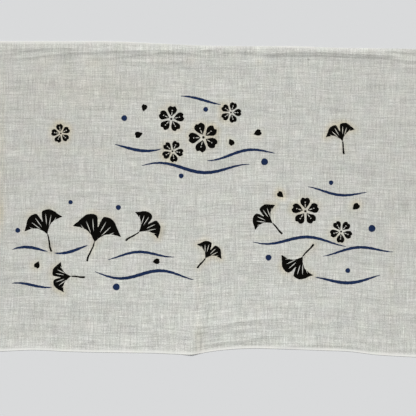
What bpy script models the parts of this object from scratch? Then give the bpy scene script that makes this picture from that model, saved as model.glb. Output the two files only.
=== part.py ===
# Tenugui towel: one cut length of thin plain-woven cotton, lying face up on a flat surface.
# Metres. X runs along the towel, Y across it with the upper selvage at +Y, and Z is up from the surface.
# It lies flat but for low soft ridges: rolls beside the upper selvage, a fan of wrinkles above the lower
# selvage, and the creases left where it was stored folded in four.

from collections import namedtuple

import bmesh
import bpy
import numpy as np

MM = 0.001

CLOTH_LENGTH = 870 * MM  # from one cut end to the other
SOLID_THICKNESS = 1.2 * MM  # the real cloth is about 0.4 mm, so this stands in for it
FOLD_FADE = 26 * MM  # a fold rises and dies out over this length
CREST_BLUNT = 0.05  # rounding of a crest, as a share of its flank
QUARTER = CLOTH_LENGTH / 4  # spacing of the storage creases
CREASE_FLANK = 4.5  # millimetres, on both sides of a storage crease
CREASE_HOLLOW = 1.4
CREASE_FADE = 50 * MM
CUT_FADE = 8  # power by which the unevenness of a cut end dies out along the cloth
SMOOTH_ANGLE = 50  # degrees; edges that turn by more stay sharp

# The tables are in millimetres on the towel. A fold's path is the (along, across) points of its crest, above
# is the flank towards the upper selvage, and below is the other one. On the foot, which runs up from the step
# in the lower selvage, above is the left flank. Hollow is 1 for a straight flank with a crisp foot, and more
# for one that runs out softly.
Edge = namedtuple("Edge", "along across")
Fold = namedtuple("Fold", "name height above below hollow path")
Crease = namedtuple("Crease", "quarter height lower upper")

# The two selvages wander by a few millimetres, because the cloth is laid by hand.
UPPER_SELVAGE = (
    Edge(-435, 170.2),
    Edge(-330, 171.5),
    Edge(-218, 171.0),
    Edge(-146, 171.9),
    Edge(-103, 172.6),
    Edge(-45, 171.1),
    Edge(-2, 169.6),
    Edge(55, 169.5),
    Edge(99, 170.2),
    Edge(120, 170.0),
    Edge(145, 169.2),
    Edge(165, 169.1),
    Edge(185, 169.2),
    Edge(241, 169.4),
    Edge(340, 170.6),
    Edge(435, 169.9),
)
LOWER_SELVAGE = (
    Edge(-435, -171.2),
    Edge(-330, -172.6),
    Edge(-218, -172.2),
    Edge(-175, -170.0),
    Edge(-146, -171.0),
    Edge(-117, -171.4),
    Edge(-80, -171.5),
    Edge(-45, -171.5),
    Edge(-18, -172.3),
    Edge(-4, -172.5),
    Edge(4, -171.4),
    Edge(12, -169.8),
    Edge(27, -167.4),
    Edge(55, -164.9),
    Edge(99, -164.8),
    Edge(142, -165.7),
    Edge(171, -166.4),
    Edge(199, -169.4),
    Edge(228, -170.9),
    Edge(330, -172.3),
    Edge(435, -170.8),
)
# How far each cut end stands out from straight, against the place across the cloth.
LEFT_CUT = (Edge(-1.4, -172), Edge(0.9, -90), Edge(-0.6, 0), Edge(1.1, 90), Edge(-0.9, 172))
RIGHT_CUT = (Edge(1.2, -172), Edge(-0.8, -80), Edge(0.7, 10), Edge(-1.0, 100), Edge(0.8, 172))

FOLDS = (
    Fold("roll", 1.4, 7.6, 5.1, 1.0,
         ((54, 163.5), (64, 162.8), (74, 162.3), (86, 162.5), (99, 163.2), (115, 163.8), (143, 164.0),
          (156, 163.6), (173, 162.9), (188, 162.3), (204, 162.1), (216, 161.5), (230, 160.6))),
    Fold("roll pleat", 0.14, 1.6, 1.5, 1.0,
         ((72, 160.0), (86, 159.5), (101, 159.8), (118, 160.2), (132, 160.8), (145, 160.3), (162, 159.6),
          (178, 159.3), (196, 159.3))),
    Fold("roll start", 0.54, 7.0, 3.1, 1.3,
         ((6, 163.0), (25, 162.5), (45, 163.3), (56, 162.6), (63, 161.8), (70, 160.9), (78, 160.3))),
    Fold("roll lead", 0.85, 6.0, 2.6, 1.3,
         ((-14, 163.7), (3, 164.2), (12, 164.9), (20, 164.6), (36, 163.7))),
    Fold("upper branch", 0.46, 9.0, 2.3, 1.2,
         ((188, 166.0), (212, 165.9), (231, 165.3), (260, 165.2), (290, 165.8))),
    Fold("lower branch", 0.62, 10.0, 3.6, 1.4,
         ((200, 158.8), (215, 157.6), (231, 156.2), (260, 154.2), (298, 152.6))),
    Fold("left top", 0.66, 6.0, 3.8, 1.4,
         ((-258, 157.8), (-209, 161.8), (-187, 164.1), (-165, 163.9), (-143, 164.5), (-120, 164.8))),
    Fold("left short", 0.44, 4.0, 3.4, 1.3,
         ((-252, 151.6), (-220, 156.4), (-207, 158.2), (-192, 161.0), (-178, 162.8), (-162, 163.6))),
    Fold("left long", 0.52, 7.0, 3.4, 1.5,
         ((-228, 153.2), (-208, 153.1), (-190, 153.4), (-179, 154.4), (-165, 156.8), (-148, 158.4),
          (-137, 159.4), (-120, 159.9), (-109, 160.9), (-96, 161.9), (-82, 162.6), (-61, 163.5),
          (-42, 163.9))),
    Fold("left broad", 0.32, 6.0, 7.8, 1.0,
         ((-178, 157.0), (-148, 159.6), (-120, 160.6), (-96, 162.2), (-76, 163.4), (-54, 164.2))),
    Fold("left low", 0.38, 8.0, 2.8, 1.5,
         ((-138, 152.7), (-118, 153.4), (-103, 153.7), (-88, 155.4), (-76, 157.1), (-68, 158.6),
          (-54, 159.4), (-41, 161.2), (-27, 160.0), (-12, 158.6))),
    Fold("top band", 0.5, 5.0, 6.0, 1.0,
         ((-86, 161.6), (-54, 163.7), (-32, 163.9), (-14, 164.9), (6, 165.4))),
    Fold("middle", 0.46, 5.0, 3.0, 1.3,
         ((-50, 164.2), (-28, 162.4), (-14, 161.2), (-2, 160.2), (15, 158.6))),
    Fold("middle low", 0.34, 5.0, 2.2, 1.3,
         ((-90, 151.3), (-65, 150.4), (-32, 150.7), (-8, 151.9))),
    Fold("fan upper", 0.66, 8.0, 7.6, 2.0,
         ((-17, -141.6), (7, -141.0), (28, -140.4), (38, -138.2), (46, -136.0), (58, -134.4), (71, -132.3),
          (84, -131.1), (111, -130.0))),
    Fold("fan middle", 0.46, 6.0, 6.0, 1.8,
         ((-17, -147.6), (7, -147.0), (31, -147.6), (44, -145.2), (66, -142.2), (87, -141.0))),
    Fold("fan lower", 0.5, 8.0, 5.0, 1.5,
         ((3, -167.6), (13, -164.0), (24, -160.4), (33, -158.6), (45, -157.2), (56, -155.9), (66, -153.6),
          (77, -151.2), (87, -150.6), (109, -150.0))),
    Fold("fan edge", 0.42, 6.0, 4.0, 1.5,
         ((83, -163.6), (125, -160.2), (163, -160.4), (203, -164.6))),
    Fold("foot", 1.2, 14.0, 10.0, 1.3,
         ((-5, -204), (-3, -172), (0, -156), (4, -140), (6, -118))),
)
# The cloth was kept folded in four, which left a soft crease across it at each quarter.
CREASES = (
    Crease(-1, 0.4, -180, 184),
    Crease(0, 0.32, -188, -16),
    Crease(1, 0.2, -180, 184),
)

# Rows lie close together near the selvages, where the folds are, and far apart between them.
COLUMN_SPACING = 15 * MM
CREASE_COLUMNS = (-1, -0.6, -0.3, 0, 0.3, 0.6, 1)  # in crease flanks
UPPER_ROWS = (0, 2, 4, 6, 8, 10, 12, 14, 16, 18, 20, 22, 25, 28)  # millimetres down from the upper selvage
LOWER_ROWS = (0, 3, 6, 9, 12, 16, 20, 24, 28, 32, 36, 40, 44, 49)  # millimetres up from the lower selvage
MIDDLE_ROWS = 9
PATH_SAMPLES = 48

COTTON_COLOUR = (0.57, 0.58, 0.53, 1.0)  # bleached cotton, a little grey, linear
COTTON_ROUGHNESS = 0.92


def clear_scene():
    for obj in list(bpy.data.objects):
        bpy.data.objects.remove(obj)


def ease(t):
    t = np.clip(t, 0, 1)
    return t * t * (3 - 2 * t)


def smooth_curve(knots, values, at):
    """Cubic curve through the points, with slopes taken from the neighbours on each side."""
    knots, values, at = (np.asarray(a, float) for a in (knots, values, at))
    slopes = np.gradient(values, knots)
    i = np.clip(np.searchsorted(knots, at) - 1, 0, len(knots) - 2)
    span = knots[i + 1] - knots[i]
    t = np.clip((at - knots[i]) / span, 0, 1)
    blend = ease(t)
    leave = span * slopes[i] * t * (1 - t) ** 2
    arrive = span * slopes[i + 1] * t * t * (1 - t)
    return values[i] * (1 - blend) + values[i + 1] * blend + leave - arrive


def selvage(edge, x):
    return smooth_curve([e.along * MM for e in edge], [e.across * MM for e in edge], x)


def cut_end(edge, y):
    return smooth_curve([e.across * MM for e in edge], [e.along * MM for e in edge], y)


def path_points(path):
    """Evenly spread samples along a fold's crest, in metres."""
    path = np.array(path, float) * MM
    travelled = np.concatenate([[0], np.cumsum(np.linalg.norm(np.diff(path, axis=0), axis=1))])
    at = np.linspace(0, travelled[-1], PATH_SAMPLES)
    return np.stack([smooth_curve(travelled, path[:, k], at) for k in (0, 1)], axis=1)


def ridge(x, y, fold, fade_length):
    """Height of one ridge: highest on its crest line, gone at the foot of its flanks and at both ends."""
    crest = path_points(fold.path)
    start, step = crest[:-1], np.diff(crest, axis=0)
    to_x = x[..., None] - start[:, 0]
    to_y = y[..., None] - start[:, 1]
    t = np.clip((to_x * step[:, 0] + to_y * step[:, 1]) / (step**2).sum(axis=1), 0, 1)
    away = np.hypot(to_x - t * step[:, 0], to_y - t * step[:, 1])
    side = step[:, 0] * to_y - step[:, 1] * to_x
    nearest = away.argmin(axis=-1)[..., None]
    away, side, t = (np.take_along_axis(values, nearest, -1)[..., 0] for values in (away, side, t))
    flank = np.where(side > 0, fold.above, fold.below) * MM
    across = np.clip(away / flank, 0, 1)
    down = (np.hypot(across, CREST_BLUNT) - CREST_BLUNT) / (np.hypot(1, CREST_BLUNT) - CREST_BLUNT)
    lengths = np.linalg.norm(step, axis=1)
    along = (nearest[..., 0] + t) * lengths.mean()
    fade = ease(along / fade_length) * ease((lengths.sum() - along) / fade_length)
    return fold.height * MM * fade * np.clip(1 - down, 0, 1) ** fold.hollow


def fold_height(x, y):
    """How far the cloth stands off the surface at each point."""
    z = np.zeros_like(x)
    for fold in FOLDS:
        z += ridge(x, y, fold, FOLD_FADE)
    for crease in CREASES:
        line = crease.quarter * QUARTER / MM
        path = ((line, crease.lower), (line, crease.upper))
        as_fold = Fold("crease", crease.height, CREASE_FLANK, CREASE_FLANK, CREASE_HOLLOW, path)
        z = np.maximum(z, ridge(x, y, as_fold, CREASE_FADE))
    return z


def column_places():
    """Even columns along the cloth, with closer ones on the storage creases."""
    half = CLOTH_LENGTH / 2
    even = np.linspace(-half, half, round(CLOTH_LENGTH / COLUMN_SPACING) + 1)
    flank = CREASE_FLANK * MM
    on_crease = [c.quarter * QUARTER + flank * k for c in CREASES for k in CREASE_COLUMNS]
    keep = [x for x in even if min(abs(x - c) for c in on_crease) > flank]
    return np.sort(np.array(keep + on_crease))


def plan_grid():
    """Plan positions of the cloth's points, one row for each line across the columns."""
    x = column_places()
    upper, lower = selvage(UPPER_SELVAGE, x), selvage(LOWER_SELVAGE, x)
    low_rows = [lower + d * MM for d in LOWER_ROWS]
    high_rows = [upper - d * MM for d in reversed(UPPER_ROWS)]
    shares = np.linspace(0, 1, MIDDLE_ROWS + 2)[1:-1]
    middle_rows = [low_rows[-1] * (1 - s) + high_rows[0] * s for s in shares]
    y = np.array(low_rows + middle_rows + high_rows)
    share = (x + CLOTH_LENGTH / 2) / CLOTH_LENGTH
    x = x + cut_end(LEFT_CUT, y) * (1 - share) ** CUT_FADE + cut_end(RIGHT_CUT, y) * share**CUT_FADE
    return x, y


def sheet_mesh(name):
    """The closed sheet: an upper skin, a lower skin and the rim that joins them."""
    x, y = plan_grid()
    lift = fold_height(x, y)
    x = x - (x.max() + x.min()) / 2
    y = y - (y.max() + y.min()) / 2
    rows, columns = x.shape
    mesh = bmesh.new()
    under = [[mesh.verts.new((x[r, c], y[r, c], lift[r, c])) for c in range(columns)] for r in range(rows)]
    over = [
        [mesh.verts.new((x[r, c], y[r, c], lift[r, c] + SOLID_THICKNESS)) for c in range(columns)]
        for r in range(rows)
    ]
    for r in range(rows - 1):
        for c in range(columns - 1):
            mesh.faces.new((over[r][c], over[r][c + 1], over[r + 1][c + 1], over[r + 1][c]))
            mesh.faces.new((under[r][c], under[r + 1][c], under[r + 1][c + 1], under[r][c + 1]))
    for c in range(columns - 1):
        mesh.faces.new((under[0][c], under[0][c + 1], over[0][c + 1], over[0][c]))
        mesh.faces.new((under[-1][c + 1], under[-1][c], over[-1][c], over[-1][c + 1]))
    for r in range(rows - 1):
        mesh.faces.new((under[r + 1][0], under[r][0], over[r][0], over[r + 1][0]))
        mesh.faces.new((under[r][-1], under[r + 1][-1], over[r + 1][-1], over[r][-1]))
    data = bpy.data.meshes.new(name)
    mesh.to_mesh(data)
    mesh.free()
    return data


def cotton_material():
    material = bpy.data.materials.new("bleached cotton")
    material.use_nodes = True
    shader = material.node_tree.nodes["Principled BSDF"]
    shader.inputs["Base Color"].default_value = COTTON_COLOUR
    shader.inputs["Roughness"].default_value = COTTON_ROUGHNESS
    shader.inputs["Metallic"].default_value = 0.0
    return material


def build_towel():
    data = sheet_mesh("towel_cloth")
    data.materials.append(cotton_material())
    data.shade_smooth()
    data.set_sharp_from_angle(angle=np.radians(SMOOTH_ANGLE))
    towel = bpy.data.objects.new("towel_cloth", data)
    bpy.context.scene.collection.objects.link(towel)
    return towel


clear_scene()
build_towel()
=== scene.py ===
# Tenugui towel lying face up: thin plain-woven bleached cotton with a stencil-dyed print.
# The print is of common motifs: cherry blossoms and ginkgo leaves drifting over streams.
# All tables are in millimetres on the towel: x along it, y across it towards the upper selvage.
import math
import random
from collections import namedtuple

import bpy
import numpy as np
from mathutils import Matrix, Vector, kdtree
from mathutils.geometry import delaunay_2d_cdt


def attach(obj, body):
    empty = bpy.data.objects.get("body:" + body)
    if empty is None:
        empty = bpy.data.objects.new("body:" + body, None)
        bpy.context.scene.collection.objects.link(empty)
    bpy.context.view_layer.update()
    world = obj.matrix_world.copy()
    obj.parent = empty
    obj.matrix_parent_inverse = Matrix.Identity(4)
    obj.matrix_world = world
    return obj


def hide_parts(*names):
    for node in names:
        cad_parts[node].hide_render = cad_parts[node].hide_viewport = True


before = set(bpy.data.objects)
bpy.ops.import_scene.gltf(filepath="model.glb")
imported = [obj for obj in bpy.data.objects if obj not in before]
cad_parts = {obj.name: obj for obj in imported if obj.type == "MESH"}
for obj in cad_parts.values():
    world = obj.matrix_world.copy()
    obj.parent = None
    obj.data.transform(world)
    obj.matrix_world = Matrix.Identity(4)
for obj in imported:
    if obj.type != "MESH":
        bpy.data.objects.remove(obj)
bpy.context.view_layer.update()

mm = 0.001


def linearColour(hexText):
    # sRGB hex to the linear values that Blender's sockets take
    parts = [int(hexText[i : i + 2], 16) / 255 for i in (1, 3, 5)]
    return [p / 12.92 if p <= 0.04045 else ((p + 0.055) / 1.055) ** 2.4 for p in parts] + [1.0]


def easeStep(t):
    t = np.clip(t, 0, 1)
    return t * t * (3 - 2 * t)


def smoothCurve(knots, values, at):
    # cubic through the points, each slope taken from the points beside it
    knots, values, at = (np.asarray(a, float) for a in (knots, values, at))
    slopes = np.gradient(values, knots)
    i = np.clip(np.searchsorted(knots, at) - 1, 0, len(knots) - 2)
    span = knots[i + 1] - knots[i]
    t = np.clip((at - knots[i]) / span, 0, 1)
    blend = easeStep(t)
    bend = span * t * (1 - t) * (slopes[i] * (1 - t) - slopes[i + 1] * t)
    return values[i] * (1 - blend) + values[i + 1] * blend + bend


def lengthAlong(points):
    # how far along a line each of its points is
    return np.concatenate([[0], np.cumsum(np.linalg.norm(np.diff(points, axis=0), axis=1))])


def unit(vectors):
    return vectors / np.linalg.norm(vectors, axis=1)[:, None]


def leftOf(line):
    # unit vectors to the left of a line at each of its points
    run = np.gradient(line, axis=0)
    return unit(np.stack([-run[:, 1], run[:, 0]], axis=1))


# The cloth's outline. Hand-laid, so both selvages wander by a few millimetres.
Edge = namedtuple("Edge", "along across")

towel = {
    "length": 870,  # cut length
    "width": 345,  # between the selvages
    "thickness": 0.45,  # the real cloth is about 0.4
    "selvageBead": 0.02,  # the selvage is woven tighter and stands this much thicker
    "selvageWidth": 3.4,  # its threads lie closer, so it looks lighter
    "edgeRound": 0.2,  # how far the rim bulges out
    "cutFade": 8,  # the higher, the sooner the unevenness of the cut ends dies out inwards
}
upperSelvage = (
    Edge(-435, 170.2), Edge(-330, 171.5), Edge(-218, 171.0), Edge(-146, 171.9), Edge(-103, 172.6),
    Edge(-45, 171.1), Edge(-2, 169.6), Edge(55, 169.5), Edge(99, 170.2), Edge(120, 170.0),
    Edge(145, 169.2), Edge(165, 169.1), Edge(185, 169.2), Edge(241, 169.4), Edge(340, 170.6),
    Edge(435, 169.9),
)
lowerSelvage = (
    Edge(-435, -171.2), Edge(-330, -172.6), Edge(-218, -172.2), Edge(-175, -170.0), Edge(-146, -171.0),
    Edge(-117, -171.4), Edge(-80, -171.5), Edge(-45, -171.5), Edge(-18, -172.3), Edge(-4, -172.5),
    Edge(4, -171.4), Edge(12, -169.8), Edge(27, -167.4), Edge(55, -164.9), Edge(99, -164.8),
    Edge(142, -165.7), Edge(171, -166.4), Edge(199, -169.4), Edge(228, -170.9), Edge(330, -172.3),
    Edge(435, -170.8),
)
# along the cut ends is y, and across is how far they stray in x
leftCut = (Edge(-172, -1.4), Edge(-90, 0.9), Edge(0, -0.6), Edge(90, 1.1), Edge(172, -0.9))
rightCut = (Edge(-172, 1.2), Edge(-80, -0.8), Edge(10, 0.7), Edge(100, -1.0), Edge(172, 0.8))


def edgeCurve(edge, at):
    return smoothCurve([e.along for e in edge], [e.across for e in edge], at)


def upperEdge(x):
    return edgeCurve(upperSelvage, x)


def lowerEdge(x):
    return edgeCurve(lowerSelvage, x)


def cutShift(x, y):
    # the two cut ends are a little uneven, which dies out within a few centimetres
    share = np.clip(x / towel["length"] + 0.5, 0, 1)
    fade = towel["cutFade"]
    return edgeCurve(leftCut, y) * (1 - share) ** fade + edgeCurve(rightCut, y) * share**fade


def boxCentre():
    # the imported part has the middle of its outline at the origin
    half, halfWidth = towel["length"] / 2, (towel["width"] - 1) / 2
    x = np.linspace(-half, half, towel["length"] + 1)
    y = np.linspace(-halfWidth, halfWidth, towel["width"])
    leftEnd = -half + cutShift(np.full_like(y, -half), y)
    rightEnd = half + cutShift(np.full_like(y, half), y)
    return (leftEnd.min() + rightEnd.max()) / 2, (upperEdge(x).max() + lowerEdge(x).min()) / 2


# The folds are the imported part's own. Above is the flank towards the upper selvage and below the other one.
# On the foot, which runs up from the step in the lower selvage, above is the left flank.
# Hollow is 1 for a straight flank with a crisp foot, and more for one that runs out softly.
Fold = namedtuple("Fold", "name height above below hollow path")
Crease = namedtuple("Crease", "quarter height lower upper")

folds = (
    Fold("roll", 1.4, 7.6, 5.1, 1.0,
         ((54, 163.5), (64, 162.8), (74, 162.3), (86, 162.5), (99, 163.2), (115, 163.8), (143, 164.0),
          (156, 163.6), (173, 162.9), (188, 162.3), (204, 162.1), (216, 161.5), (230, 160.6))),
    Fold("roll pleat", 0.14, 1.6, 1.5, 1.0,
         ((72, 160.0), (86, 159.5), (101, 159.8), (118, 160.2), (132, 160.8), (145, 160.3), (162, 159.6),
          (178, 159.3), (196, 159.3))),
    Fold("roll start", 0.54, 7.0, 3.1, 1.3,
         ((6, 163.0), (25, 162.5), (45, 163.3), (56, 162.6), (63, 161.8), (70, 160.9), (78, 160.3))),
    Fold("roll lead", 0.85, 6.0, 2.6, 1.3,
         ((-14, 163.7), (3, 164.2), (12, 164.9), (20, 164.6), (36, 163.7))),
    Fold("upper branch", 0.46, 9.0, 2.3, 1.2,
         ((188, 166.0), (212, 165.9), (231, 165.3), (260, 165.2), (290, 165.8))),
    Fold("lower branch", 0.62, 10.0, 3.6, 1.4,
         ((200, 158.8), (215, 157.6), (231, 156.2), (260, 154.2), (298, 152.6))),
    Fold("left top", 0.66, 6.0, 3.8, 1.4,
         ((-258, 157.8), (-209, 161.8), (-187, 164.1), (-165, 163.9), (-143, 164.5), (-120, 164.8))),
    Fold("left short", 0.44, 4.0, 3.4, 1.3,
         ((-252, 151.6), (-220, 156.4), (-207, 158.2), (-192, 161.0), (-178, 162.8), (-162, 163.6))),
    Fold("left long", 0.52, 7.0, 3.4, 1.5,
         ((-228, 153.2), (-208, 153.1), (-190, 153.4), (-179, 154.4), (-165, 156.8), (-148, 158.4),
          (-137, 159.4), (-120, 159.9), (-109, 160.9), (-96, 161.9), (-82, 162.6), (-61, 163.5),
          (-42, 163.9))),
    Fold("left broad", 0.32, 6.0, 7.8, 1.0,
         ((-178, 157.0), (-148, 159.6), (-120, 160.6), (-96, 162.2), (-76, 163.4), (-54, 164.2))),
    Fold("left low", 0.38, 8.0, 2.8, 1.5,
         ((-138, 152.7), (-118, 153.4), (-103, 153.7), (-88, 155.4), (-76, 157.1), (-68, 158.6),
          (-54, 159.4), (-41, 161.2), (-27, 160.0), (-12, 158.6))),
    Fold("top band", 0.5, 5.0, 6.0, 1.0,
         ((-86, 161.6), (-54, 163.7), (-32, 163.9), (-14, 164.9), (6, 165.4))),
    Fold("middle", 0.46, 5.0, 3.0, 1.3,
         ((-50, 164.2), (-28, 162.4), (-14, 161.2), (-2, 160.2), (15, 158.6))),
    Fold("middle low", 0.34, 5.0, 2.2, 1.3,
         ((-90, 151.3), (-65, 150.4), (-32, 150.7), (-8, 151.9))),
    Fold("fan upper", 0.66, 8.0, 7.6, 2.0,
         ((-17, -141.6), (7, -141.0), (28, -140.4), (38, -138.2), (46, -136.0), (58, -134.4), (71, -132.3),
          (84, -131.1), (111, -130.0))),
    Fold("fan middle", 0.46, 6.0, 6.0, 1.8,
         ((-17, -147.6), (7, -147.0), (31, -147.6), (44, -145.2), (66, -142.2), (87, -141.0))),
    Fold("fan lower", 0.5, 8.0, 5.0, 1.5,
         ((3, -167.6), (13, -164.0), (24, -160.4), (33, -158.6), (45, -157.2), (56, -155.9), (66, -153.6),
          (77, -151.2), (87, -150.6), (109, -150.0))),
    Fold("fan edge", 0.42, 6.0, 4.0, 1.5,
         ((83, -163.6), (125, -160.2), (163, -160.4), (203, -164.6))),
    Fold("foot", 1.2, 14.0, 10.0, 1.3,
         ((-5, -204), (-3, -172), (0, -156), (4, -140), (6, -118))),
)
# kept folded in four, which left a soft crease at each quarter of its length
creases = (Crease(-1, 0.4, -180, 184), Crease(0, 0.32, -188, -16), Crease(1, 0.2, -180, 184))
folding = {
    "blunt": 0.05,  # rounding of a crest, as a share of its flank
    "fade": 26,  # a fold rises and dies out over this length
    "creaseFlank": 4.5,
    "creaseHollow": 1.4,
    "creaseFade": 50,
}


def pathPoints(path, count=48):
    path = np.array(path, float)
    travelled = lengthAlong(path)
    at = np.linspace(0, travelled[-1], count)
    return np.stack([smoothCurve(travelled, path[:, k], at) for k in (0, 1)], axis=1)


def ridge(x, y, crest, fold, fadeLength):
    # height of one ridge: highest on its crest line, gone at the foot of its flanks and at both ends
    raised = np.zeros_like(x)
    reach = max(fold.above, fold.below)
    near = (x > crest[:, 0].min() - reach) & (x < crest[:, 0].max() + reach)
    near &= (y > crest[:, 1].min() - reach) & (y < crest[:, 1].max() + reach)
    near = np.flatnonzero(near)
    start, step = crest[:-1], np.diff(crest, axis=0)
    toX = x[near, None] - start[:, 0]
    toY = y[near, None] - start[:, 1]
    t = np.clip((toX * step[:, 0] + toY * step[:, 1]) / (step**2).sum(axis=1), 0, 1)
    away = np.hypot(toX - t * step[:, 0], toY - t * step[:, 1])
    nearest = away.argmin(axis=1)
    row = np.arange(len(near))
    side = step[nearest, 0] * toY[row, nearest] - step[nearest, 1] * toX[row, nearest]
    across = np.clip(away[row, nearest] / np.where(side > 0, fold.above, fold.below), 0, 1)
    along = (nearest + t[row, nearest]) * np.linalg.norm(step, axis=1).mean()
    total = np.linalg.norm(step, axis=1).sum()
    fade = easeStep(along / fadeLength) * easeStep((total - along) / fadeLength)
    blunt = folding["blunt"]
    down = (np.hypot(across, blunt) - blunt) / (np.hypot(1, blunt) - blunt)
    raised[near] = fold.height * fade * np.clip(1 - down, 0, 1) ** fold.hollow
    return raised


def foldHeight(x, y):
    z = np.zeros_like(x)
    for fold in folds:
        z += ridge(x, y, pathPoints(fold.path), fold, folding["fade"])
    for c in creases:
        line = c.quarter * towel["length"] / 4
        flank = folding["creaseFlank"]
        asFold = Fold("crease", c.height, flank, flank, folding["creaseHollow"],
                      ((line, c.lower), (line, c.upper)))
        z = np.maximum(z, ridge(x, y, pathPoints(asFold.path), asFold, folding["creaseFade"]))
    return z


# Slow unevenness that every washed and folded cotton keeps: sets of waves that cross each other.
cockling = {
    "height": 0.07,
    "lengths": (37.0, 23.0, 14.5),  # from wave to wave, in each set
    "heading": 0.7,  # of the first set, in radians
    "turn": 1.9,  # how much further round the next set heads
    "bend": 3.1,  # how far the waves swing to and fro
    "bendLength": 2.7,  # over this many times their own length
    "shift": 1.3,
    "flatRim": 12,  # they die out this close to the selvages
}


def cockle(x, y):
    total = np.zeros_like(x)
    for k, length in enumerate(cockling["lengths"]):
        heading = cockling["heading"] + cockling["turn"] * k
        across = x * math.cos(heading) + y * math.sin(heading)
        along = y * math.cos(heading) - x * math.sin(heading)
        bend = cockling["bend"] * np.sin(2 * np.pi * along / (length * cockling["bendLength"]) + k)
        total += np.sin(2 * np.pi * (across + bend) / length + cockling["shift"] * k)
    # never below the floor
    return cockling["height"] * (1 + total / len(cockling["lengths"]))


def fromSelvage(x, y):
    return np.maximum(np.minimum(upperEdge(x) - y, y - lowerEdge(x)), 0)


def lift(x, y):
    # how far the cloth stands off the floor, flat on it along both selvages but for the folds
    return foldHeight(x, y) + cockle(x, y) * easeStep(fromSelvage(x, y) / cockling["flatRim"])


# The print. Each motif has its place, its size and how many degrees it is turned.
Blossom = namedtuple("Blossom", "x y radius turn")
Leaf = namedtuple("Leaf", "x y size turn spread")
Petal = namedtuple("Petal", "x y length turn")
Stream = namedtuple("Stream", "x y length rise swing waves start width")
Dot = namedtuple("Dot", "x y radius")

blossoms = (
    Blossom(-30, 88, 15.5, 12), Blossom(6, 68, 18.0, 40), Blossom(-28, 52, 13.0, 65),
    Blossom(36, 96, 12.5, 0), Blossom(120, -12, 16.5, 20), Blossom(160, -34, 13.5, 50),
    Blossom(-152, 70, 11.5, 30),
)
leaves = (
    Leaf(-165, -42, 27, 22, 62), Leaf(-113, -50, 31, -12, 66), Leaf(-64, -38, 24, -48, 60),
    Leaf(-138, -88, 21, 96, 60), Leaf(118, -62, 25, 148, 62), Leaf(84, -26, 22, 52, 60),
    Leaf(10, -66, 19, -30, 62), Leaf(160, 66, 20, 16, 62),
)
petals = (
    Petal(-66, 70, 10, 200), Petal(66, 74, 10, 20), Petal(37, 63, 9, 300), Petal(-60, 100, 9, 80),
    Petal(92, 6, 9, 140), Petal(176, -6, 10, 40), Petal(-44, -70, 9, 10), Petal(-176, -76, 9, 250),
)
streams = (
    Stream(-204, -62, 84, 6, 4.6, 1.0, 0.1, 3.4), Stream(-112, -84, 110, -2, 5.0, 1.2, 0.45, 3.8),
    Stream(-98, -66, 74, 5, 3.8, 0.9, 0.85, 3.1), Stream(-204, -100, 62, 4, 3.4, 0.8, 0.2, 3.0),
    Stream(-92, 56, 112, 2, 4.6, 1.1, 0.4, 3.5), Stream(-62, 34, 120, 0, 5.0, 1.2, 0.05, 3.8),
    Stream(10, 46, 76, 8, 4.0, 0.9, 0.7, 3.3), Stream(-20, 110, 74, -4, 3.4, 0.8, 0.2, 3.0),
    Stream(62, -44, 104, -2, 4.6, 1.1, 0.6, 3.5), Stream(108, -90, 96, 6, 4.4, 1.0, 0.1, 3.7),
    Stream(140, -58, 78, 6, 3.8, 0.9, 0.8, 3.2), Stream(122, 12, 66, -4, 3.4, 0.8, 0.3, 3.0),
)
dots = (
    Dot(-198, -38, 2.8), Dot(-88, -99, 3.9), Dot(-87, -11, 2.9), Dot(-140, -6, 2.5),
    Dot(-82, 88, 3.3), Dot(-18, 25, 2.8), Dot(74, 42, 3.9), Dot(8, 99, 2.8),
    Dot(80, -64, 3.4), Dot(194, -30, 4.0), Dot(168, -77, 2.8), Dot(148, 20, 2.6),
)
printing = {
    "outlinePitch": 1.1,  # spacing of the points on a motif's edge
    "barePitch": 0.9,  # and on a slit left undyed
    "wobble": 0.1,  # the hand-cut stencil's edge wanders this much
    "wobblePoints": 7,  # and goes in and out once in so many points
    "wobbleFiner": 0.7,  # with a finer wobble of this strength on top
    "reserve": 2.4,  # streams break off this far from the black
    "shortestStroke": 14,
    "strokeTip": 0.12,  # width of a stroke's ends, as a share of its middle
    "strokeSwell": 0.75,  # below 1 a stroke keeps its width longer
    "slitSwell": 0.8,
    "haloRings": (1.6, 3.6, 6.4),  # extra points round the black motifs, for the tan halo
    "haloPitch": 2.6,
    "haloReach": 7.0,
}
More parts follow.
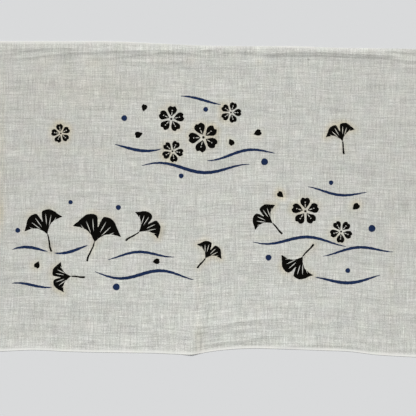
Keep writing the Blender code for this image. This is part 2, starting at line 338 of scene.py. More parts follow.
# Proportions of the motifs, as shares of their size unless the note says millimetres.
petalForm = {
    "lean": 1.35,  # above 1 a petal is widest past its middle
    "fullness": 0.72,  # below 1 its sides are rounder
    "notchLength": 0.2,  # the notch takes up this last part of it
    "notchWidth": 0.3,  # of its half width
    "halfWidth": 0.36,  # of a loose petal
    "notch": 0.17,
}
blossomForm = {
    "petals": 5,
    "eye": 0.085,
    "root": 0.17,
    "halfWidth": 0.335,
    "notch": 0.15,
    "slitFrom": 0.24,
    "slitTo": 0.52,
    "slitHalfWidth": 0.45,  # millimetres
    "pollenAt": 0.6,
    "pollenRadius": 0.62,  # millimetres
}
leafForm = {
    "wave": 0.035,  # depth of the rim's waves
    "waves": 7.3,  # waves in a full turn
    "fallBack": 0.05,  # the rim falls back towards its two corners
    "split": 0.42,  # how deep the rim is split in the middle
    "splitWidth": 0.075,  # radians
    "hollow": (0.16, -0.09),  # how far the sides bend, towards the rim and inwards
    "ribs": (-3, -2, -1, 1, 2, 3),
    "ribFan": 3.9,  # the higher, the closer the ribs
    "ribFrom": 0.34,
    "ribStagger": 0.05,  # every other rib starts this much later
    "ribTo": 0.88,
    "ribShorter": 0.03,  # and ends so much sooner for each step from the middle
    "ribHalfWidth": 0.4,  # millimetres
    "stalk": 0.72,
    "stalkSwing": 0.13,
    "stalkBend": 2.2,
    "stalkHalfWidth": 0.7,  # millimetres, at the fan
    "stalkWidens": 0.45,  # millimetres, towards its foot
}


def turned(points, x, y, degrees):
    a = math.radians(degrees)
    return points @ np.array([[math.cos(a), math.sin(a)], [-math.sin(a), math.cos(a)]]) + (x, y)


def evenly(points, pitch, closed=True):
    # the same line with points an even pitch apart
    points = np.asarray(points, float)
    if closed:
        points = np.vstack([points, points[:1]])
    travelled = lengthAlong(points)
    count = max(8, round(travelled[-1] / pitch))
    at = np.linspace(0, travelled[-1], count + 1)[: count if closed else count + 1]
    return np.stack([np.interp(at, travelled, points[:, k]) for k in (0, 1)], axis=1)


def stencilEdge(points, seed):
    # a hand-cut edge: evenly spaced points, pushed in and out a little
    points = evenly(points, printing["outlinePitch"])
    run = np.roll(points, -1, axis=0) - np.roll(points, 1, axis=0)
    normal = unit(np.stack([run[:, 1], -run[:, 0]], axis=1))
    s = np.arange(len(points)) / len(points) * 2 * np.pi
    waves = max(3, len(points) // printing["wobblePoints"])
    finer = np.sin((2 * waves + 1) * s + 2.3 * seed)
    push = np.sin(waves * s + seed) + printing["wobbleFiner"] * finer
    return points + normal * (printing["wobble"] * push)[:, None]


def inside(outline, x, y):
    # which points lie inside a closed outline
    result = np.zeros(len(x), bool)
    low, high = outline.min(axis=0), outline.max(axis=0)
    near = np.flatnonzero((x >= low[0]) & (x <= high[0]) & (y >= low[1]) & (y <= high[1]))
    px, py = x[near], y[near]
    odd = np.zeros(len(near), bool)
    for (x0, y0), (x1, y1) in zip(outline, np.roll(outline, -1, axis=0)):
        crosses = (y0 > py) != (y1 > py)
        if crosses.any():
            odd ^= crosses & (px < x0 + (py - y0) * (x1 - x0) / (y1 - y0))
    result[near] = odd
    return result


def petalShape(root, tip, halfWidth, notch):
    # a petal along +x with a notch at the tip
    s = np.linspace(0, 1, 40)
    half = halfWidth * np.sin(np.pi * s ** petalForm["lean"]) ** petalForm["fullness"]
    half[0] = half[-1] = 0
    x = root + (tip - root) * s
    inNotch = easeStep((s - (1 - petalForm["notchLength"])) / petalForm["notchLength"])
    dip = notch * np.exp(-((half / (petalForm["notchWidth"] * halfWidth)) ** 2)) * inNotch
    side = np.stack([x - dip, half], axis=1)
    return np.vstack([side, side[-2:0:-1] * (1, -1)])


def slitShape(start, end, halfWidth):
    # a thin slit along +x, pointed at both ends
    s = np.linspace(0, 1, 12)
    half = halfWidth * np.sin(np.pi * s) ** printing["slitSwell"]
    half[0] = half[-1] = 0
    side = np.stack([start + (end - start) * s, half], axis=1)
    return np.vstack([side, side[-2:0:-1] * (1, -1)])


def roundShape(radius, count=20):
    a = np.linspace(0, 2 * np.pi, count, endpoint=False)
    return radius * np.stack([np.cos(a), np.sin(a)], axis=1)


def strokeShape(line, halfWidth):
    # a brush stroke of changing width along a line
    offset = leftOf(line) * halfWidth[:, None]
    return np.vstack([line + offset, (line - offset)[::-1]])


def blossomShapes(b):
    # notched petals round a small eye; each has a slit with a pollen dot at its end, left undyed
    form = blossomForm
    dyed, bare = [roundShape(form["eye"] * b.radius)], []
    for k in range(form["petals"]):
        turn = 360 / form["petals"] * k
        petal = petalShape(form["root"] * b.radius, b.radius, form["halfWidth"] * b.radius,
                           form["notch"] * b.radius)
        slit = slitShape(form["slitFrom"] * b.radius, form["slitTo"] * b.radius, form["slitHalfWidth"])
        pollen = roundShape(form["pollenRadius"], 8) + (form["pollenAt"] * b.radius, 0)
        dyed.append(turned(petal, 0, 0, turn))
        bare += [turned(slit, 0, 0, turn), turned(pollen, 0, 0, turn)]
    return [[turned(p, b.x, b.y, b.turn) for p in group] for group in (dyed, bare)]


def leafShapes(leaf):
    # a ginkgo fan with hollow sides, a wavy rim split in the middle and ribs left undyed, and its stalk
    form = leafForm
    r, spread = leaf.size, math.radians(leaf.spread)
    a = np.linspace(-spread, spread, 70)
    rim = r * (1 - form["wave"] * np.cos(form["waves"] * a) - form["fallBack"] * (a / spread) ** 4)
    rim -= form["split"] * r * np.exp(-((a / form["splitWidth"]) ** 2))
    rimPoints = np.stack([rim * np.cos(a), rim * np.sin(a)], axis=1)
    t = np.linspace(0, 1, 16)[:-1, None]
    side = rimPoints[-1] * t + np.array(form["hollow"]) * r * np.sin(np.pi * t)
    fan = np.vstack([side * (1, -1), rimPoints, side[:0:-1]])
    ribs = []
    for k in form["ribs"]:
        rib = slitShape((form["ribFrom"] + form["ribStagger"] * (k % 2)) * r,
                        (form["ribTo"] - form["ribShorter"] * abs(k)) * r, form["ribHalfWidth"])
        ribs.append(turned(rib, 0, 0, k * leaf.spread / form["ribFan"]))
    s = np.linspace(0, 1, 14)
    swing = form["stalkSwing"] * r * np.sin(form["stalkBend"] * s) * s
    stalkLine = np.stack([-form["stalk"] * r * s, swing], axis=1)
    stalk = strokeShape(stalkLine, form["stalkHalfWidth"] + form["stalkWidens"] * s)
    return [[turned(p, leaf.x, leaf.y, leaf.turn + 90) for p in group] for group in ([fan, stalk], ribs)]


def streamShapes(stream, black):
    # flowing water: a slow wave that breaks off round the black motifs, each stroke swelling in its middle
    s = np.linspace(0, 1, 160)
    x = stream.x + stream.length * s
    y = stream.y + stream.rise * s + stream.swing * np.sin(2 * np.pi * (stream.waves * s + stream.start))
    edge = np.vstack(black)
    toBlack = np.hypot(x[:, None] - edge[:, 0], y[:, None] - edge[:, 1]).min(axis=1)
    isOpen = toBlack > printing["reserve"]
    for outline in black:
        isOpen &= ~inside(outline, x, y)
    turns = np.flatnonzero(np.diff(np.concatenate([[0], isOpen.astype(int), [0]])))
    strokes = []
    for first, last in zip(turns[::2], turns[1::2]):
        if x[last - 1] - x[first] > printing["shortestStroke"]:
            swell = np.sin(np.linspace(0, np.pi, last - first)) ** printing["strokeSwell"]
            share = printing["strokeTip"] + (1 - printing["strokeTip"]) * swell
            line = np.stack([x[first:last], y[first:last]], axis=1)
            strokes.append(strokeShape(line, stream.width / 2 * share))
    return strokes


def makePrint():
    # outlines of the black, of the slits left undyed in it, and of the indigo
    black, bare = [], []
    for dyed, slits in [blossomShapes(b) for b in blossoms] + [leafShapes(leaf) for leaf in leaves]:
        black += dyed
        bare += slits
    for p in petals:
        shape = petalShape(-0.5 * p.length, 0.5 * p.length, petalForm["halfWidth"] * p.length,
                           petalForm["notch"] * p.length)
        black.append(turned(shape, p.x, p.y, p.turn))
    black = [stencilEdge(p, 1.7 * k) for k, p in enumerate(black)]
    indigo = [stroke for s in streams for stroke in streamShapes(s, black)]
    indigo += [roundShape(d.radius) + (d.x, d.y) for d in dots]
    indigo = [stencilEdge(p, 2.1 * k) for k, p in enumerate(indigo)]
    return black, [evenly(p, printing["barePitch"]) for p in bare], indigo


# Yellowing, strongest on the crease that lay outermost while the towel was stored.
Stain = namedtuple("Stain", "x y reachX reachY strength")
Glow = namedtuple("Glow", "along share")
stains = (
    Stain(-217, 50, 3.5, 75, 0.17), Stain(-216.5, -19, 3.5, 17, 0.42), Stain(3, -95, 3.0, 62, 0.06),
    Stain(4.5, -156, 6.0, 17, 0.16), Stain(-110, 52, 95, 4, 0.1), Stain(-120, 120, 70, 24, 0.1),
    Stain(-170, 150, 12, 7, 0.07), Stain(-113, 150, 15, 6, 0.1), Stain(-46, 151, 12, 4, 0.08),
    Stain(-10, 153, 9, 5, 0.08), Stain(67, 153, 3.0, 3.0, 0.18), Stain(72, -41, 26, 2.5, 0.14),
    Stain(217, -60, 3.5, 70, 0.1),
)
# Painted shade for the light falling off: least in the middle of the cloth's lower half.
falloffShading = {"middle": 20, "reach": 200, "from": -150, "height": 190}
# How light the upper selvage looks along its length, where 1 is the lower one.
upperGlow = (
    Glow(-220, 0.72), Glow(-90, 0.72), Glow(-30, 0.5), Glow(60, 0.42), Glow(140, 0.5), Glow(215, 0.15),
)
# Left of the step in the lower selvage, the cloth beside that selvage is painted a little lighter.
lighterLowLeft = {"share": 0.2, "reach": 26, "until": 6, "fade": 24}


def agedAt(x, y):
    total = np.zeros_like(x)
    for s in stains:
        total += s.strength * np.exp(-(((x - s.x) / s.reachX) ** 2) - ((y - s.y) / s.reachY) ** 2)
    return np.clip(total, 0, 1)


def falloffShadeAt(x, y):
    # painted shade of the light falling off: it rises towards both ends and towards the upper selvage
    towardsEnds = np.clip((x - falloffShading["middle"]) / falloffShading["reach"], -1, 1) ** 2
    upwards = easeStep((y - falloffShading["from"]) / falloffShading["height"])
    return (towardsEnds + upwards) / 2


def tightAt(x, y):
    # the selvages are woven tighter: 1 at their very edge, and nought where the plain weave begins
    return np.clip(1 - fromSelvage(x, y) / towel["selvageWidth"], 0, 1) ** 0.5


def selvageAt(x, y):
    # how much of the selvage's lighter look each place has
    upperShare = np.interp(x, [g.along for g in upperGlow], [g.share for g in upperGlow])
    beside = easeStep(1 - (y - lowerEdge(x)) / lighterLowLeft["reach"])
    beside = beside * easeStep((lighterLowLeft["until"] - x) / lighterLowLeft["fade"])
    return np.maximum(tightAt(x, y) * np.where(y > 0, upperShare, 1), lighterLowLeft["share"] * beside)


# Where the cloth's mesh has its points: in rows in from the selvages, along the folds and round the print.
Rows = namedtuple("Rows", "first last apart")

meshing = {
    "columnPitch": 3.6,  # spacing of the points along the selvages
    "endPitch": 4,  # and up the cut ends
    "middlePitch": 5.0,  # and in the plain middle
    "rimRows": (0.5, 1.2, 2.1, 3.2, 4.4),  # in from either selvage
    "upperRows": Rows(5.6, 25.1, 1.2),  # then in from the upper one, over the roll and its wrinkles
    "lowerRows": Rows(6.6, 52.1, 2.2),  # and in from the lower one, over the fan
    "endGap": 0.8,  # rows end this far from the cut ends
    "foldPitch": 2.4,  # spacing of the points along a fold
    "crestRows": (0.25, 0.85),  # down from its crest
    "footRows": (-0.35, 0.35),  # inside and outside the foot of its flanks
    "creasePitch": 4.0,
    "creaseRows": (-1, -0.7, -0.45, -0.2, 0, 0.2, 0.45, 0.7, 1),  # shares of a crease's flank
    "creaseReach": 164,  # they end this far above and below the middle
    "clearOfOutlines": 0.42,  # every other point keeps this far from the outlines
    "clearOfOthers": 0.45,  # and from the rest
    "samePoint": 1e-6,  # points closer than this are one
    "smallest": 1e-7,  # triangles smaller than this are left out
    "slopeStep": 0.05,  # slopes are taken over this length to both sides
    "rimLean": 0.05,  # how far the shading turns outward at the rim
}


def linesAlongFolds():
    # lines of points close to each fold's crest on both sides, halfway down its flanks and at their feet
    lines = []
    for fold in folds:
        crest = evenly(pathPoints(fold.path), meshing["foldPitch"], closed=False)
        for flank, away in ((fold.above, leftOf(crest)), (fold.below, -leftOf(crest))):
            feet = [flank + by for by in meshing["footRows"]]
            lines += [crest + away * by for by in [*meshing["crestRows"], flank / 2, *feet]]
    up = np.arange(-meshing["creaseReach"], meshing["creaseReach"], meshing["creasePitch"])
    for crease in creases:
        for share in meshing["creaseRows"]:
            line = crease.quarter * towel["length"] / 4 + share * folding["creaseFlank"]
            lines.append(np.stack([np.full_like(up, line), up], axis=1))
    return lines


def pointTree(points):
    tree = kdtree.KDTree(len(points))
    for k, p in enumerate(points):
        tree.insert((p[0], p[1], 0), k)
    tree.balance()
    return tree


def spreadOut(points, fixed):
    # the points that keep their distance from the fixed ones and from each other
    tree, apart = pointTree(fixed), meshing["clearOfOutlines"]
    points = [p for p in points if tree.find((p[0], p[1], 0))[2] > apart]
    tree, apart = pointTree(points), meshing["clearOfOthers"]
    return np.array([p for k, p in enumerate(points)
                     if not any(j < k for _, j, _ in tree.find_range((p[0], p[1], 0), apart))])


def rimOutline():
    # the points' x along both selvages, and the whole rim
    half, pitch = towel["length"] / 2, meshing["endPitch"]
    x = np.linspace(-half, half, round(towel["length"] / meshing["columnPitch"]) + 1)
    share = np.arange(pitch, towel["width"] - 1, pitch) / towel["width"]
    ends = []
    for end in (half, -half):
        across = lowerEdge(end) * (1 - share) + upperEdge(end) * share
        ends.append(np.stack([np.full_like(share, end), across], axis=1))
    lower, upper = np.stack([x, lowerEdge(x)], axis=1), np.stack([x, upperEdge(x)], axis=1)
    return x, np.vstack([lower, ends[0], upper[::-1], ends[1][::-1]])


def selvageRows(x, edge, inwards, rows):
    # rows that follow a selvage, every other one shifted by half a step
    depths = [*meshing["rimRows"], *np.arange(*rows)]
    lines = []
    for k, depth in enumerate(depths):
        xs = x[1:-1] + meshing["columnPitch"] / 2 * (k % 2)
        lines.append(np.stack([xs, edge(xs) + inwards * depth], axis=1))
    return lines, depths[-1]


def meshPlan(outlines, black):
    # points and edges in plan: the rim, rows that follow the selvages and folds, and the print's outlines
    half, pitch = towel["length"] / 2, meshing["middlePitch"]
    x, rim = rimOutline()
    upperLines, upperDepth = selvageRows(x, upperEdge, -1, meshing["upperRows"])
    lowerLines, lowerDepth = selvageRows(x, lowerEdge, 1, meshing["lowerRows"])
    inner = linesAlongFolds() + upperLines + lowerLines
    count = round((towel["width"] - upperDepth - lowerDepth) / pitch)
    for k in range(1, count):
        xs = np.arange(-half + pitch / 2, half, pitch) + pitch / 2 * (k % 2)
        low, high = lowerEdge(xs) + lowerDepth, upperEdge(xs) - upperDepth
        inner.append(np.stack([xs, low + (high - low) * k / count], axis=1))
    for outline in black:
        middle = outline.mean(axis=0)
        away = outline - middle
        for by in printing["haloRings"]:
            ring = middle + away * (1 + by / np.linalg.norm(away, axis=1)[:, None])
            inner.append(evenly(ring, printing["haloPitch"]))
    inner = np.vstack(inner)
    inner = inner[inside(rim, inner[:, 0], inner[:, 1]) & (abs(inner[:, 0]) < half - meshing["endGap"])]
    inner = spreadOut(inner, np.vstack([rim] + outlines))

    edges, first = [], 0
    for loop in [rim] + outlines:
        edges += [(first + k, first + (k + 1) % len(loop)) for k in range(len(loop))]
        first += len(loop)
    return rim, np.vstack([rim] + outlines + [inner]), edges


def cutPlan(black, bare, indigo):
    # the plan's points and triangles, and the dye that each triangle took
    rim, points, edges = meshPlan(black + bare + indigo, black)
    flat = delaunay_2d_cdt([Vector(p) for p in points], edges, [], 1, meshing["samePoint"], False)
    place = np.array([list(v) for v in flat[0]])
    triangles = np.array([f for f in flat[2] if len(f) == 3])
    a, b, c = (place[triangles[:, k]] for k in range(3))
    turn = (b[:, 0] - a[:, 0]) * (c[:, 1] - a[:, 1]) - (b[:, 1] - a[:, 1]) * (c[:, 0] - a[:, 0])
    triangles[turn < 0] = triangles[turn < 0][:, ::-1]
    middle = (a + b + c) / 3
    within = inside(rim, middle[:, 0], middle[:, 1]) & (abs(turn) > meshing["smallest"])
    triangles, middle = triangles[within], middle[within]
    dyes = []
    for outlines in (black, bare, indigo):
        dyes.append(np.any([inside(outline, middle[:, 0], middle[:, 1]) for outline in outlines], axis=0))
    return place, triangles, dyes[0] & ~dyes[1], dyes[2] & ~dyes[0]


def facing(x, y):
    # which way the cloth faces on its folds
    step = meshing["slopeStep"]
    slopeX = (lift(x + step, y) - lift(x - step, y)) / (2 * step)
    slopeY = (lift(x, y + step) - lift(x, y - step)) / (2 * step)
    return unit(np.stack([-slopeX, -slopeY, np.ones_like(x)], axis=1))


def rimOf(place, triangles):
    # the edges that only one triangle has, the points on them, and which way is outward there
    directed = {(t[k], t[(k + 1) % 3]) for t in triangles.tolist() for k in range(3)}
    border = sorted(e for e in directed if (e[1], e[0]) not in directed)
    outward = np.zeros((len(place), 2))
    for i, j in border:
        run = place[j] - place[i]
        outward[[i, j]] += np.array([run[1], -run[0]]) / np.linalg.norm(run)
    rimPoints = np.array(sorted({i for e in border for i in e}))
    return border, rimPoints, unit(outward[rimPoints])


def markDyes(mesh, isBlack, isIndigo):
    # the dye of each face, the same on both sides of the cloth and none on its rim
    for name, values in (("blackDye", isBlack), ("indigoDye", isIndigo)):
        undyed = np.zeros(len(mesh.polygons) - 2 * len(values))
        values = np.concatenate([values, values, undyed]).astype(np.float32)
        mesh.attributes.new(name, "FLOAT", "FACE").data.foreach_set("value", values)


def markPlaces(mesh, x, y, black, rimPoints):
    # what the material reads at each point
    tree = pointTree(np.vstack(black))
    toBlack = np.array([tree.find((px, py, 0))[2] for px, py in zip(x, y)])
    halo = np.clip(1 - toBlack / printing["haloReach"], 0, 1)
    # one of these marks is the painted shade of the light falling off
    for name, values in (("halo", halo), ("aged", agedAt(x, y)), ("falloffShade", falloffShadeAt(x, y)),
                         ("selvage", selvageAt(x, y))):
        values = np.concatenate([values, values, values[rimPoints]]).astype(np.float32)
        mesh.attributes.new(name, "FLOAT", "POINT").data.foreach_set("value", values)
    # the cloth's own place, as if pulled flat and square, which its threads follow
    low, high = lowerEdge(x), upperEdge(x)
    square = (y - (high + low) / 2) / (high - low) * towel["width"]
    threads = np.stack([x, square, np.zeros_like(x)], axis=1)
    threads = np.vstack([threads, threads, threads[rimPoints]]).astype(np.float32)
    mesh.attributes.new("threadPlace", "FLOAT_VECTOR", "POINT").data.foreach_set("vector", threads.ravel())


def clothMesh():
    black, bare, indigo = makePrint()
    place, triangles, isBlack, isIndigo = cutPlan(black, bare, indigo)
    print("scene: print cut,", len(black), "black and", len(indigo), "indigo shapes,",
          len(triangles), "triangles a side")
    x, y = place[:, 0], place[:, 1]
    z, count = lift(x, y), len(x)
    top = z + towel["thickness"] + towel["selvageBead"] * np.sin(np.pi * tightAt(x, y))

    # between the two faces, one ring of points bulges out along the rim
    border, rimPoints, outward = rimOf(place, triangles)
    ring = {int(i): 2 * count + k for k, i in enumerate(rimPoints)}
    cutX = x + cutShift(x, y)
    bulge = outward * towel["edgeRound"]
    vertices = np.vstack([
        np.stack([cutX, y, top], axis=1),
        np.stack([cutX, y, z], axis=1),
        np.stack([cutX[rimPoints] + bulge[:, 0], y[rimPoints] + bulge[:, 1],
                  z[rimPoints] + towel["thickness"] / 2], axis=1),
    ])
    vertices = (vertices - (*boxCentre(), 0)) * mm
    faces = triangles.tolist() + (triangles[:, ::-1] + count).tolist()
    for a, b in border:
        faces.append([a, ring[a], ring[b], b])
        faces.append([ring[a], a + count, b + count, ring[b]])
    mesh = bpy.data.meshes.new("towelCloth")
    mesh.from_pydata(vertices.tolist(), [], faces)
    mesh.shade_smooth()

    over = facing(x, y)
    under = -over
    lean = np.hstack([outward, np.zeros((len(rimPoints), 1))])
    over[rimPoints] += meshing["rimLean"] * lean
    under[rimPoints] += meshing["rimLean"] * lean
    normals = unit(np.vstack([over, under, lean]))
    mesh.normals_split_custom_set_from_vertices(normals.tolist())
    markDyes(mesh, isBlack, isIndigo)
    markPlaces(mesh, x, y, black, rimPoints)
    return mesh


def addNode(tree, kind, settings=None, inputs=None, links=None):
    # one node with its settings, its values and what feeds it: a socket, or a node's first output
    node = tree.nodes.new("ShaderNode" + kind)
    for name, value in (settings or {}).items():
        setattr(node, name, value)
    for name, value in (inputs or {}).items():
        node.inputs[name].default_value = value
    for name, source in (links or {}).items():
        output = source.outputs[0] if isinstance(source, bpy.types.Node) else source
        tree.links.new(output, node.inputs[name])
    return node


def startMaterial(name):
    material = bpy.data.materials.new(name)
    material.use_nodes = True
    material.node_tree.nodes.clear()
    return material, material.node_tree


# Bleached plain-woven cotton, stencil-dyed: matt and a little fuzzy, its uneven yarns a fine cross-hatch.
Yarn = namedtuple("Yarn", "name sizeX sizeY detail seed contrast")
Quiet = namedtuple("Quiet", "mark first last least")
Nep = namedtuple("Nep", "x y reach depth")

cotton = {
    "undyed": "#c5c6c0",
    "falloffShade": "#bdbdb7",  # painted shade for the light falling off, most towards the ends and the upper selvage
    "selvage": "#e7e7e2",  # woven tighter, so it looks lighter
    "tan": "#bfb497",  # where the black dye's size bled out, and where it yellowed
    "black": "#070604",
    "indigo": "#1b2a4a",
    "roughness": 0.93,
    "ior": 1.53,  # cellulose
    "specular": 0.06,
    "yarns": (
        # threads are about 0.6 mm apart, too fine to show, so they are drawn about 1.3 mm apart
        Yarn("warp", 44.0, 1.35, 1.0, 3.1, 0.34),
        Yarn("weft", 1.35, 32.0, 1.0, 17.7, 0.32),
        Yarn("warp lump", 15.0, 1.4, 0.0, 37.1, 0.27),
        Yarn("weft lump", 1.4, 13.0, 0.0, 47.9, 0.29),
        Yarn("grain", 1.3, 1.3, 0.0, 41.3, 0.43),
        Yarn("warp bars", 190.0, 6.5, 1.0, 29.3, 0.19),
        Yarn("weft bars", 7.0, 240.0, 1.0, 23.9, 0.09),
        Yarn("cloud", 34.0, 34.0, 2.0, 67.9, 0.15),
    ),
    "crossing": 0.9,  # where two thick yarns cross it is lighter still
    "slubs": (  # thick places in single yarns, lighter than the rest
        Yarn("warp slub", 15.0, 1.5, 0.0, 53.3, 0.075),
        Yarn("weft slub", 1.5, 19.0, 0.0, 59.1, 0.075),
    ),
    "slubFrom": 0.66,  # how rare the slubs are
    "slubFull": 0.82,
    "quiet": (  # the tight selvage and the cloth under the painted shade show less of their yarns
        Quiet("selvage", 0.2, 0.6, 0.2),
        Quiet("falloffShade", 0.0, 1.0, 0.83),
    ),
    "cast": Yarn("cast", 15.0, 15.0, 1.5, 83.7, 0.045),  # faint warmer and cooler patches
    "patch": Yarn("patch", 42.0, 42.0, 1.0, 93.1, 0.6),  # the tan halo is stronger in some places
    "patchFrom": 0.36,
    "patchFull": 0.76,
    "bumpHeight": 0.00008,
}
# A few stray dark fibres caught in the weave.
neps = (Nep(121.0, 158.1, 2.3, 0.42), Nep(-41.0, 96.0, 1.6, 0.18), Nep(62.0, -118.0, 1.5, 0.16))


def yarnSpots(tree, place):
    # each layer of yarns is a noise stretched along them, from a part of its own
    spots = {}
    for yarn in cotton["yarns"] + cotton["slubs"] + (cotton["patch"], cotton["cast"]):
        scale, seed = (1 / yarn.sizeX, 1 / yarn.sizeY, 1), (yarn.seed, 0.37 * yarn.seed, 0)
        scaled = addNode(tree, "Mapping", None, {"Scale": scale, "Location": seed}, {"Vector": place})
        noise = addNode(tree, "TexNoise", {"noise_dimensions": "2D"}, {"Scale": 1.0, "Detail": yarn.detail},
                        {"Vector": scaled})
        spots[yarn.name] = noise.outputs["Color"] if yarn == cotton["cast"] else noise
    return spots


def weaveTone(tree, place, marks, spots):
    # how light the weave is, where 1 is its mean, and the relief of its yarns
    tone = relief = None
    centred = {}
    for yarn in cotton["yarns"]:
        middle = addNode(tree, "Math", {"operation": "SUBTRACT"}, {1: 0.5}, {0: spots[yarn.name]})
        part = addNode(tree, "Math", {"operation": "MULTIPLY"}, {1: yarn.contrast}, {0: middle})
        if tone:
            part = addNode(tree, "Math", {"operation": "ADD"}, None, {0: tone, 1: part})
        tone, centred[yarn.name] = part, middle
        if yarn.name == "grain":
            relief = tone
    # brighter or darker where two such yarns cross
    crossing = addNode(tree, "Math", {"operation": "MULTIPLY"}, None,
                       {0: centred["warp lump"], 1: centred["weft lump"]})
    tone = addNode(tree, "Math", {"operation": "MULTIPLY_ADD"}, {1: cotton["crossing"]},
                   {0: crossing, 2: tone})
    for yarn in cotton["slubs"]:
        rise = {"From Min": cotton["slubFrom"], "From Max": cotton["slubFull"], "To Max": yarn.contrast}
        thick = addNode(tree, "MapRange", None, rise, {"Value": spots[yarn.name]})
        tone = addNode(tree, "Math", {"operation": "ADD"}, None, {0: tone, 1: thick})
    for q in cotton["quiet"]:
        fall = {"From Min": q.first, "From Max": q.last, "To Min": 1.0, "To Max": q.least}
        quiet = addNode(tree, "MapRange", None, fall, {"Value": marks[q.mark]})
        tone = addNode(tree, "Math", {"operation": "MULTIPLY"}, None, {0: tone, 1: quiet})
    for nep in neps:
        away = addNode(tree, "VectorMath", {"operation": "DISTANCE"}, {1: (nep.x, nep.y, 0)}, {0: place})
        fall = {"From Max": nep.reach, "To Min": -nep.depth, "To Max": 0.0}
        speck = addNode(tree, "MapRange", {"interpolation_type": "SMOOTHSTEP"}, fall,
                        {"Value": away.outputs["Value"]})
        tone = addNode(tree, "Math", {"operation": "ADD"}, None, {0: tone, 1: speck})
    return addNode(tree, "Math", {"operation": "ADD"}, {1: 1.0}, {0: tone}), relief


def dyedColour(tree, marks, spots):
    # the bare cotton under its painted shade of falling-off light, then yellowed and dyed
    colour = addNode(tree, "Mix", {"data_type": "RGBA"},
                     {6: linearColour(cotton["undyed"]), 7: linearColour(cotton["falloffShade"])},
                     {0: marks["falloffShade"]})
    rise = {"From Min": cotton["patchFrom"], "From Max": cotton["patchFull"],
            "To Max": cotton["patch"].contrast}
    patches = addNode(tree, "MapRange", None, rise, {"Value": spots["patch"]})
    halo = addNode(tree, "Math", {"operation": "MULTIPLY"}, None, {0: marks["halo"], 1: patches})
    # yellowing is mottled by the grain
    mottle = addNode(tree, "Math", {"operation": "ADD"}, {1: 0.5}, {0: spots["grain"]})
    tanShare = addNode(tree, "Math", {"operation": "MULTIPLY_ADD"}, None,
                       {0: marks["aged"], 1: mottle, 2: halo})
    for dye, share in (("selvage", marks["selvage"]), ("tan", tanShare), ("indigo", marks["indigoDye"]),
                       ("black", marks["blackDye"])):
        colour = addNode(tree, "Mix", {"data_type": "RGBA"}, {7: linearColour(cotton[dye])},
                         {0: share, 6: colour.outputs[2]})
    return colour.outputs[2]


def cottonMaterial():
    material, tree = startMaterial("stencil-dyed plain-woven cotton")
    place = addNode(tree, "Attribute", {"attribute_name": "threadPlace"}).outputs["Vector"]
    marks = {}
    for name in ("selvage", "halo", "aged", "falloffShade", "blackDye", "indigoDye"):
        marks[name] = addNode(tree, "Attribute", {"attribute_name": name}).outputs["Fac"]
    spots = yarnSpots(tree, place)
    tone, relief = weaveTone(tree, place, marks, spots)
    colour = dyedColour(tree, marks, spots)
    grey = addNode(tree, "CombineColor", None, None, {k: tone for k in range(3)})
    # the cast's noise has its middle at a half, so white is raised by as much as it takes away
    share = cotton["cast"].contrast
    raised = (1 - share / 2) / (1 - share)
    cast = addNode(tree, "Mix", {"data_type": "RGBA"}, {0: share, 6: (raised, raised, raised, 1)},
                   {7: spots["cast"]})
    for layer in (grey.outputs[0], cast.outputs[2]):
        colour = addNode(tree, "Mix", {"data_type": "RGBA", "blend_type": "MULTIPLY"}, {0: 1.0},
                         {6: colour, 7: layer}).outputs[2]
    bump = addNode(tree, "Bump", None, {"Distance": cotton["bumpHeight"]}, {"Height": relief})
    shader = addNode(tree, "BsdfPrincipled", None,
                     {"Roughness": cotton["roughness"], "IOR": cotton["ior"],
                      "Specular IOR Level": cotton["specular"]},
                     {"Base Color": colour, "Normal": bump})
    addNode(tree, "OutputMaterial", None, None, {"Surface": shader})
    return material


# Loose warp ends on the two unhemmed cut ends.
fray = {
    "pitch": 1.0,  # spacing of the loose ends
    "thickness": 0.34,
    "shortest": 0.9,
    "longest": 3.4,
    "root": 0.6,  # how far a thread reaches back under the cut edge
    "spread": 0.22,  # how far their headings differ, in radians
    "curl": 0.5,
    "taper": 0.45,  # how much thinner a thread is at its tip
    "jitter": 0.3,  # how uneven the spacing is
    "cornerGap": 1.2,  # none this close to a selvage
    "floorGap": 0.02,
    "sides": 4,
    "joints": 4,
}


def frayMesh(name, side, seed):
    # short warp ends that fan out and droop to the surface
    chance = random.Random(seed)
    shiftX, shiftY = boxCentre()
    end = side * towel["length"] / 2
    low, high = float(lowerEdge(end)), float(upperEdge(end))
    vertices, faces = [], []
    n, joints = fray["sides"], fray["joints"]
    y = low + fray["cornerGap"]
    while y < high - fray["cornerGap"]:
        length = chance.uniform(fray["shortest"], fray["longest"]) + fray["root"]
        heading, curl = chance.gauss(0, fray["spread"]), chance.gauss(0, fray["curl"])
        px, py = end + float(cutShift(end, y)) - side * fray["root"], y
        start = len(vertices)
        for j in range(joints + 1):
            t = j / joints
            radius = fray["thickness"] / 2 * (1 - fray["taper"] * t)
            angle = heading + curl * t
            if j:
                px += side * math.cos(angle) * length / joints
                py += math.sin(angle) * length / joints
            pz = max(radius + fray["floorGap"], towel["thickness"] / 2 * (1 - t) + radius * t)
            for k in range(n):
                a = 2 * math.pi * (k + 0.5) / n
                across = radius * math.cos(a)
                vertices.append(((px - side * math.sin(angle) * across - shiftX) * mm,
                                 (py + math.cos(angle) * across - shiftY) * mm,
                                 (pz + radius * math.sin(a)) * mm))
        rings = [[start + j * n + k for k in range(n)] for j in range(joints + 1)]
        turn = -1 if side > 0 else 1  # the faces wind the other way at the other end
        for near, far in zip(rings, rings[1:]):
            faces += [[near[k], near[(k + 1) % n], far[(k + 1) % n], far[k]][::turn] for k in range(n)]
        faces += [rings[0][::-turn], rings[-1][::turn]]
        y += fray["pitch"] * chance.uniform(1 - fray["jitter"], 1 + fray["jitter"])
    mesh = bpy.data.meshes.new(name)
    mesh.from_pydata(vertices, [], faces)
    mesh.shade_smooth()
    return mesh


# Undyed cotton yarn, loosely spun: soft and matt, its twist showing as fine lighter and darker flecks.
yarnLook = {
    "dark": "#b4b5ae",
    "light": "#dcdcd6",
    "twist": 0.7,  # length of a fleck
    "roughness": 0.95,
    "specular": 0.1,
}


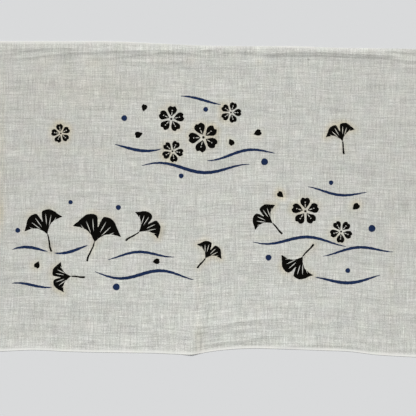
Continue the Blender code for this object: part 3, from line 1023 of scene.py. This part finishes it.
def yarnMaterial():
    material, tree = startMaterial("undyed cotton yarn")
    place = addNode(tree, "TexCoord").outputs["Object"]
    twist = addNode(tree, "TexNoise", None, {"Scale": 1 / (yarnLook["twist"] * mm), "Detail": 1.0},
                    {"Vector": place})
    colour = addNode(tree, "Mix", {"data_type": "RGBA"},
                     {6: linearColour(yarnLook["dark"]), 7: linearColour(yarnLook["light"])}, {0: twist})
    shader = addNode(tree, "BsdfPrincipled", None,
                     {"Roughness": yarnLook["roughness"], "IOR": cotton["ior"],
                      "Specular IOR Level": yarnLook["specular"]},
                     {"Base Color": colour.outputs[2]})
    addNode(tree, "OutputMaterial", None, None, {"Surface": shader})
    return material


def addObject(name, data, material=None):
    if material:
        data.materials.append(material)
    made = bpy.data.objects.new(name, data)
    bpy.context.scene.collection.objects.link(made)
    return made


cloth = addObject("towelSheet", clothMesh(), cottonMaterial())
yarnFinish = yarnMaterial()
frays = [addObject("frayedEndLeft", frayMesh("frayLeft", -1, 5), yarnFinish),
         addObject("frayedEndRight", frayMesh("frayRight", 1, 9), yarnFinish)]
print("scene: cloth and frayed ends made")

# A plain pale floor under soft studio light.
room = {
    "floor": "#d6d7d8",
    "floorRoughness": 0.9,
    "floorSpecular": 0.1,
    "floorSize": 60.0,  # metres
    "floorHeight": -0.0001,
    "sunStrength": 3.3,
    "sunHeight": 44,  # degrees above the floor
    "sunTurn": 20,  # degrees left of straight behind the upper selvage
    "sunSoftness": 24,
    "skyStrength": 0.3,
}


# Matt wall paint on board: plain and pale, so that only the cloth has texture.
def floorMaterial():
    material, tree = startMaterial("matt painted board")
    shader = addNode(tree, "BsdfPrincipled", None,
                     {"Base Color": linearColour(room["floor"]), "Roughness": room["floorRoughness"],
                      "Specular IOR Level": room["floorSpecular"]})
    addNode(tree, "OutputMaterial", None, None, {"Surface": shader})
    return material


half, level = room["floorSize"] / 2, room["floorHeight"]
floorMesh = bpy.data.meshes.new("floor")
corners = ((-half, -half), (half, -half), (half, half), (-half, half))
floorMesh.from_pydata([(x, y, level) for x, y in corners], [], [(0, 1, 2, 3)])
addObject("floor", floorMesh, floorMaterial())

sun = bpy.data.lights.new("softKey", "SUN")
sun.energy = room["sunStrength"]
sun.angle = math.radians(room["sunSoftness"])
key = addObject("softKey", sun)
height, turn = math.radians(room["sunHeight"]), math.radians(room["sunTurn"])
toLight = Vector((-math.sin(turn) * math.cos(height), math.cos(turn) * math.cos(height), math.sin(height)))
key.rotation_euler = toLight.to_track_quat("Z", "Y").to_euler()
world = bpy.data.worlds.new("paleRoom")
world.use_nodes = True
sky = world.node_tree.nodes["Background"].inputs
sky["Color"].default_value = (1, 1, 1, 1)
sky["Strength"].default_value = room["skyStrength"]
bpy.context.scene.world = world
bpy.context.scene.view_settings.view_transform = "Standard"

# The camera looks straight down, as the photo's did.
photo = {
    "frameMm": 460.7,  # what the photo's width takes in, 416 pixels of 1.1075 mm
    "middle": (12.2, -10.1),  # the point of the towel under the middle of the photo
    "tilt": 0.867,  # the towel lies turned by this many degrees
    "lens": 85,
    "sensor": 36,
}
camera = bpy.data.cameras.new("overhead")
camera.lens, camera.sensor_width = photo["lens"], photo["sensor"]
view = addObject("overhead", camera)
centre = boxCentre()
view.location = ((photo["middle"][0] - centre[0]) * mm, (photo["middle"][1] - centre[1]) * mm,
                 photo["frameMm"] * mm * photo["lens"] / photo["sensor"])
view.rotation_euler = (0, 0, math.radians(photo["tilt"]))
bpy.context.scene.camera = view

for piece in [cloth] + frays:
    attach(piece, "root")
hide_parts("towel_cloth")
